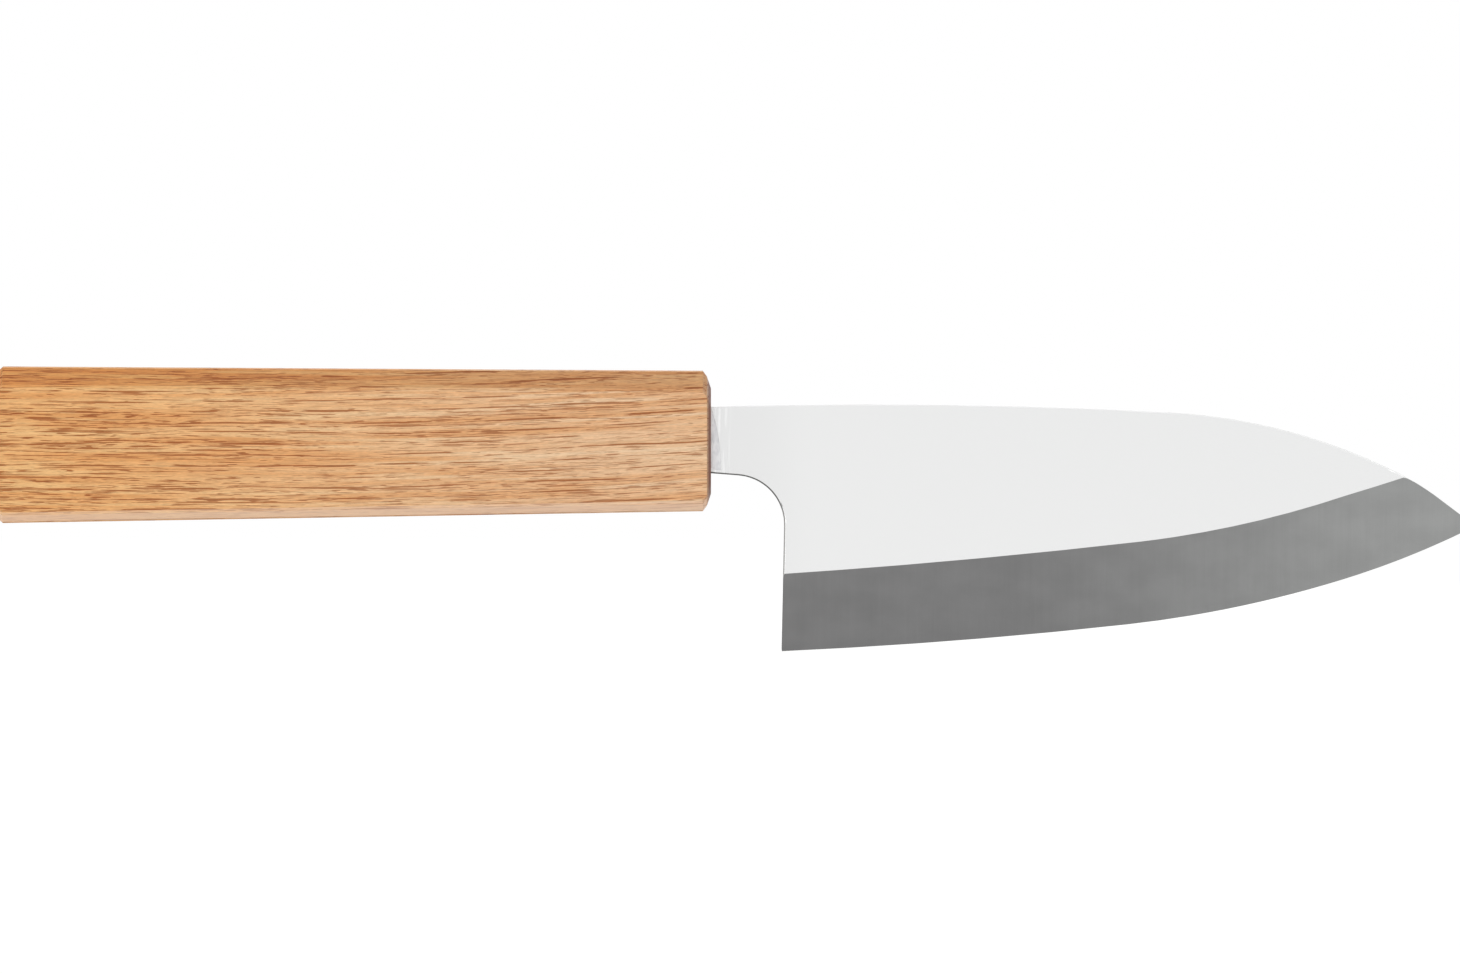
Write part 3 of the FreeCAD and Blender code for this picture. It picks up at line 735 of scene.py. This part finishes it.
def oak_finish():
    material, tree, shader, place, facing = start_material("oiled_oak")
    x, _, _ = split(tree, place)
    grain = wandering(tree, place)
    fibres = noise(tree, grain, FIBRE_LENGTHS)
    vessels = vessel_cover(tree, x, grain)
    to_front = ramp(tree, x, NEAR_BUTT, NEAR_FRONT)

    tone = plain_wood(tree, grain, fibres, to_front)
    tone = blend_colours(tree, vessels, tone, VESSEL_TINT, "MULTIPLY")
    tone = paint_facet_shade_and_sheen(tree, tone, facing, to_front)
    tone = darken_front_end(tree, tone, x, facing)
    wire(tree, tone, shader.inputs["Base Color"])
    wire(tree, blend_numbers(tree, vessels, OILED, OPEN_PORE), shader.inputs["Roughness"])

    height = calc(tree, "SUBTRACT", times(tree, fibres, FIBRE_HEIGHT), vessels)
    give_relief(tree, shader, height, WOOD_RELIEF_STRENGTH, PORE_DEPTH)
    return material


oak = oak_finish()
print(f"{oak.name}: {len(oak.node_tree.nodes)} steps")

# %% [markdown]
# ## What seals the tang in
#
# The tang sits in a bed of resin, and a dark filler closes the mouth of its slot, so that no water gets in.
# The filler shows as a thin dark line round the neck. It is matt, slightly uneven, and a little paler where
# it has been wiped. The resin differs only in its colours and its gloss, so one function makes both.

# %% Filler and resin
FILLER_PATCHES = (1.4, 1.4, 1.4)
FILLER_REACH = 0.2
WIPED = 0.12
FILLER_RELIEF_STRENGTH = 0.4
FILLER_DEPTH = 0.05


def filler_finish(name, dark, pale, roughness):
    material, tree, shader, place, _ = start_material(name)
    patches = noise(tree, place, FILLER_PATCHES, detail=4.0)
    tone = blend_colours(tree, spread(tree, patches, FILLER_REACH), dark, pale)
    wire(tree, tone, shader.inputs["Base Color"])
    matt = spread(tree, patches, FILLER_REACH, roughness, roughness + WIPED)
    wire(tree, matt, shader.inputs["Roughness"])
    give_relief(tree, shader, patches, FILLER_RELIEF_STRENGTH, FILLER_DEPTH)
    return material


seal = filler_finish("dark_filler", colour(0.07, 0.035, 0.022), colour(0.13, 0.07, 0.045), 0.6)
resin = filler_finish("set_resin", colour(0.2, 0.11, 0.05), colour(0.28, 0.17, 0.08), 0.35)
print(f"{seal.name} and {resin.name}")

# %% Give each piece its finish
FINISHES = {"blade": steel, "handle": oak, "mouth_seal": seal, "tang_adhesive": resin}
for name, finish in FINISHES.items():
    slots = nodes[name].material_slots
    if not slots:
        nodes[name].data.materials.append(finish)
    for material_slot in slots:
        material_slot.material = finish
    print(f"{name} is {finish.name}")

# %% [markdown]
# ## Floor and surroundings
#
# The knife is shown on plain white. A floor that is lit hard enough to look white would also throw too much
# light on the knife. So what the camera sees and what lights the knife are set apart: the camera, and
# anything shiny or clear, meets white at strength 1, and the light that falls on the knife is set by
# itself. The floor still takes part of its brightness from the lamps, which keeps the knife's shadow.

# %% What the camera and shiny things see
WORLD_LIGHT = 0.62


def seen_directly(tree):
    """1 for the camera and for reflections and clear things, and 0 for light that spreads from the floor."""
    path = step(tree, "LightPath", {}).outputs
    seen = calc(tree, "MAXIMUM", path["Is Camera Ray"], path["Is Glossy Ray"])
    return calc(tree, "MAXIMUM", seen, path["Is Transmission Ray"])


world = bpy.data.worlds.new("white_surroundings")
world.use_nodes = True
bpy.context.scene.world = world
background = world.node_tree.nodes["Background"]
background.inputs["Color"].default_value = colour(1.0, 1.0, 1.0)
strength = blend_numbers(world.node_tree, seen_directly(world.node_tree), WORLD_LIGHT, 1.0)
wire(world.node_tree, strength, background.inputs["Strength"])
print(f"the surroundings light the knife at {WORLD_LIGHT}")

# %% Material of the floor
FLOOR_TONE = colour(0.84, 0.84, 0.84)
SEEN_FLOOR_TONE = colour(0.3, 0.3, 0.3)
SEEN_FLOOR_GLOW = 0.82


def floor_finish():
    """White for the camera with the knife's shadow in it, pale grey for the light, and clear from below."""
    material, tree, shader, _, _ = start_material("white_floor")
    tree.nodes.remove(shader)
    lit = step(tree, "BsdfDiffuse", {"Color": FLOOR_TONE}).outputs[0]
    seen = step(tree, "BsdfDiffuse", {"Color": SEEN_FLOOR_TONE}).outputs[0]
    glow = step(tree, "Emission", {"Strength": SEEN_FLOOR_GLOW}).outputs[0]
    glowing = step(tree, "AddShader", {0: seen, 1: glow}).outputs[0]
    top = step(tree, "MixShader", {0: seen_directly(tree), 1: lit, 2: glowing}).outputs[0]
    below = step(tree, "NewGeometry", {}).outputs["Backfacing"]
    clear = step(tree, "BsdfTransparent", {}).outputs[0]
    surface = step(tree, "MixShader", {0: below, 1: top, 2: clear}).outputs[0]
    wire(tree, surface, tree.nodes["Material Output"].inputs["Surface"])
    return material


floor_material = floor_finish()
print(f"{floor_material.name}: {len(floor_material.node_tree.nodes)} steps")

# %% Floor
FLOOR_RADIUS = 6.0
FLOOR_SIDES = 96

turns = [math.tau * number / FLOOR_SIDES for number in range(FLOOR_SIDES)]
rim = [(FLOOR_RADIUS * math.cos(turn), FLOOR_RADIUS * math.sin(turn), 0.0) for turn in turns]
floor_mesh = bpy.data.meshes.new("floor")
floor_mesh.from_pydata(rim, [], [range(FLOOR_SIDES)])
floor_mesh.materials.append(floor_material)
floor = bpy.data.objects.new("floor", floor_mesh)
bpy.context.scene.collection.objects.link(floor)
floor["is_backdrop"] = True
print(f"the floor is {FLOOR_RADIUS * 2:.0f} m across")

# %% [markdown]
# ## Light
#
# Polished steel shows whatever faces it, so a lamp straight in front would burn a hole in the flat side.
# The lamps stand to the left, to the right and behind instead, and they are large and soft. The two in
# front are low, because light that comes off the floor lifts the lower slanted facets of the handle; most
# of their difference from the upper ones is the painted shade and sheen of the oak.

# %% Lamps
CENTRE = (cad_box[0] + cad_box[1]) / 2


def add_softbox(name, place, size, watts):
    """A square soft lamp that is aimed at the knife."""
    lamp = bpy.data.lights.new(name, "AREA")
    lamp.shape = "SQUARE"
    lamp.size = size
    lamp.energy = watts
    stand = bpy.data.objects.new(name, lamp)
    stand.location = place
    stand.rotation_euler = (CENTRE - stand.location).to_track_quat("-Z", "Y").to_euler()
    bpy.context.scene.collection.objects.link(stand)


for name, place, size, watts in [
    ("left_softbox", Vector((-1.1, -1.1, 0.5)), 1.0, 9.0),
    ("right_softbox", Vector((1.2, -1.0, 0.45)), 0.9, 6.0),
    ("back_softbox", Vector((0.2, 1.4, 1.0)), 1.2, 6.0),
]:
    add_softbox(name, place, size, watts)
    print(f"{name}: {watts:.0f} W, {size} m wide, {(place - CENTRE).length:.1f} m away")

# %% [markdown]
# ## Camera
#
# The knife is seen square from its flat side, with no perspective to speak of, so the lens is long and
# stands far back. The frame is set by how many millimetres of the knife it shows: the end of the handle
# lies just past the left side of the picture and the tip just past the right.

# %% Camera
LENS_MM = 400.0
FRAME_WIDTH_MM = 252.4
FRAME_CENTRE_MM = (-0.81, 28.41)
SEES_BEYOND = 10

camera_data = bpy.data.cameras.new("camera")
camera_data.lens = LENS_MM
distance = FRAME_WIDTH_MM * MM * LENS_MM / camera_data.sensor_width
camera_data.clip_end = distance * SEES_BEYOND
camera = bpy.data.objects.new("camera", camera_data)
camera.location = (FRAME_CENTRE_MM[0] * MM, -distance, FRAME_CENTRE_MM[1] * MM)
camera.rotation_euler = (math.radians(90), 0, 0)
bpy.context.scene.collection.objects.link(camera)
bpy.context.scene.camera = camera
bpy.context.scene.view_settings.view_transform = "Standard"
print(f"the camera stands {distance:.2f} m away")

# %% [markdown]
# ## Check the size
#
# The finishes must not change the knife's size. The box from the start and the one from here are compared,
# and the largest change between them is printed.

# %% Compare sizes
seen_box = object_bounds()
changes = [abs(a - b) for old, new in zip(cad_box, seen_box) for a, b in zip(old, new)]
print(f"largest change: {max(changes):.6f} m")
